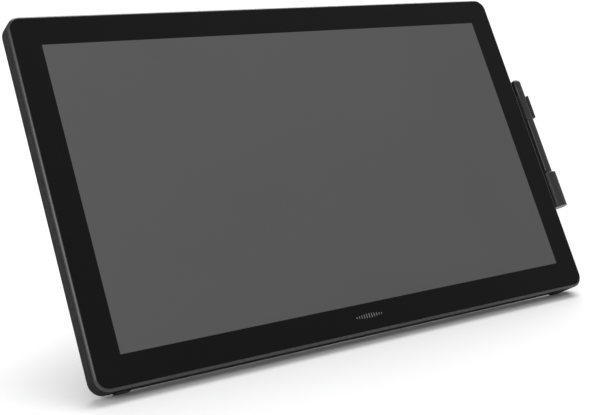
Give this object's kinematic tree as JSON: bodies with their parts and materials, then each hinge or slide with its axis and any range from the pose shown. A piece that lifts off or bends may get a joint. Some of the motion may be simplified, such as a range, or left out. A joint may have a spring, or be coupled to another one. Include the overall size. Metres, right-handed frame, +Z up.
{
  "type": "pen display",
  "caption": "Pen drawing tablet with a built-in screen, leaning on its lower edge and a hinged rear stand, with its pen stored in a holder on the right side.",
  "frame": {"origin": "on the desk, at the bottom centre of the whole object's box", "axes": "+X to the user's right along the screen, +Y away from the user, +Z up"},
  "size_m": [0.6085, 0.3412, 0.316],
  "materials": {
    "etched_glass": "matte etched, neutral",
    "case_black": "fine moulded texture",
    "frame_black": "satin",
    "button_black": "satin",
    "pen_black": "satin",
    "pen_grip_rubber": "soft matte",
    "nib_plastic": "smooth",
    "foot_rubber": "matte",
    "stand_metal": "textured powder coat",
    "steel": "machined",
    "black_screw": "black oxide",
    "bronze": "sintered bronze",
    "chassis_metal": "pressed sheet",
    "circuit_board": "solder mask",
    "lcd": "dark panel",
    "film": "translucent",
    "tape": "foam",
    "socket_metal": "nickel plated",
    "light_pipe": "clear",
    "copper": "wound wire"
  },
  "bodies": {
    "display": {"backlight_tray": "chassis_metal", "board_screws": "steel", "board_shield": "socket_metal", "border_film": "tape", "button_board": "circuit_board", "chassis_plate": "chassis_metal", "control_board": "circuit_board", "cover_screws": "black_screw", "diffuser_films": "film", "edge_feet": "foot_rubber", "flat_cables": "film", "front_frame": "frame_black", "front_glass": "etched_glass", "glass_tape": "tape", "hinge_pins": "steel", "holder_base": "case_black", "holder_screws": "black_screw", "lcd_panel": "lcd", "led_strip": "circuit_board", "lever_pin": "steel", "lever_spring": "steel", "light_guide": "film", "light_pipe": "light_pipe", "main_board": "circuit_board", "panel_frame": "case_black", "pen_clip": "frame_black", "pen_cup": "frame_black", "power_board": "circuit_board", "power_socket": "button_black", "rear_cover": "case_black", "reflector_sheet": "film", "sensor_board": "circuit_board", "sensor_shield": "chassis_metal", "stand_base": "stand_metal", "stand_screws": "black_screw", "usb_socket": "socket_metal", "vesa_posts": "steel", "video_socket": "socket_metal"},
    "stand_leg": {"stand_tube": "stand_metal", "hinge_bushes": "bronze", "stand_arm_left": "stand_metal", "stand_arm_right": "stand_metal", "stand_brace": "stand_metal", "foot_bar": "stand_metal", "foot_pads": "foot_rubber"},
    "lever": {"release_lever": "stand_metal", "brake_shoe": "foot_rubber"},
    "pen": {"pen_nose": "pen_black", "pen_grip": "pen_grip_rubber", "pen_coil": "copper", "pen_barrel": "pen_black", "pen_upper": "pen_black", "pen_board": "circuit_board"},
    "nib": {"pen_nib": "nib_plastic"},
    "side_switch": {"pen_switch": "button_black"},
    "bay_lid": {"port_cover": "case_black"},
    "minus_button": {"minus_button": "button_black"},
    "plus_button": {"plus_button": "button_black"},
    "menu_button": {"menu_button": "button_black"},
    "power_button": {"power_button": "button_black"}
  },
  "joints": [
    {"name": "stand_swing", "type": "hinge", "parent": "display", "child": "stand_leg", "pos_m": [-0.01175, 0.01867, 0.20733], "axis": [1, 0, 0], "range_deg": [-30, 90]},
    {"name": "release_pull", "type": "hinge", "parent": "display", "child": "lever", "pos_m": [-0.01175, 0.02528, 0.23599], "axis": [-1, 0, 0], "range_deg": [0, 8], "stiffness_Nm_per_rad": 3, "springref_deg": -6.88},
    {"name": "pen_out", "type": "slide", "parent": "display", "child": "pen", "axis": [0, 0.512, 0.859], "range_m": [0, 0.165]},
    {"name": "nib_press", "type": "slide", "parent": "pen", "child": "nib", "axis": [0, 0.512, 0.859], "range_m": [0, 0.0008], "stiffness_N_per_m": 400, "springref_m": -0.0005},
    {"name": "switch_rock", "type": "hinge", "parent": "pen", "child": "side_switch", "pos_m": [0.29935, -0.08744, 0.1338], "axis": [0, -0.859, 0.512], "range_deg": [-3, 3], "stiffness_Nm_per_rad": 0.05},
    {"name": "bay_lid_off", "type": "slide", "parent": "display", "child": "bay_lid", "axis": [0, 0.859, -0.512], "range_m": [0, 0.05]},
    {"name": "minus_button_press", "type": "slide", "parent": "display", "child": "minus_button", "axis": [0, -0.512, -0.859], "range_m": [0, 0.0008], "stiffness_N_per_m": 600, "springref_m": -0.0005},
    {"name": "plus_button_press", "type": "slide", "parent": "display", "child": "plus_button", "axis": [0, -0.512, -0.859], "range_m": [0, 0.0008], "stiffness_N_per_m": 600, "springref_m": -0.0005},
    {"name": "menu_button_press", "type": "slide", "parent": "display", "child": "menu_button", "axis": [0, -0.512, -0.859], "range_m": [0, 0.0008], "stiffness_N_per_m": 600, "springref_m": -0.0005},
    {"name": "power_button_press", "type": "slide", "parent": "display", "child": "power_button", "axis": [0, -0.512, -0.859], "range_m": [0, 0.0008], "stiffness_N_per_m": 600, "springref_m": -0.0005}
  ]
}
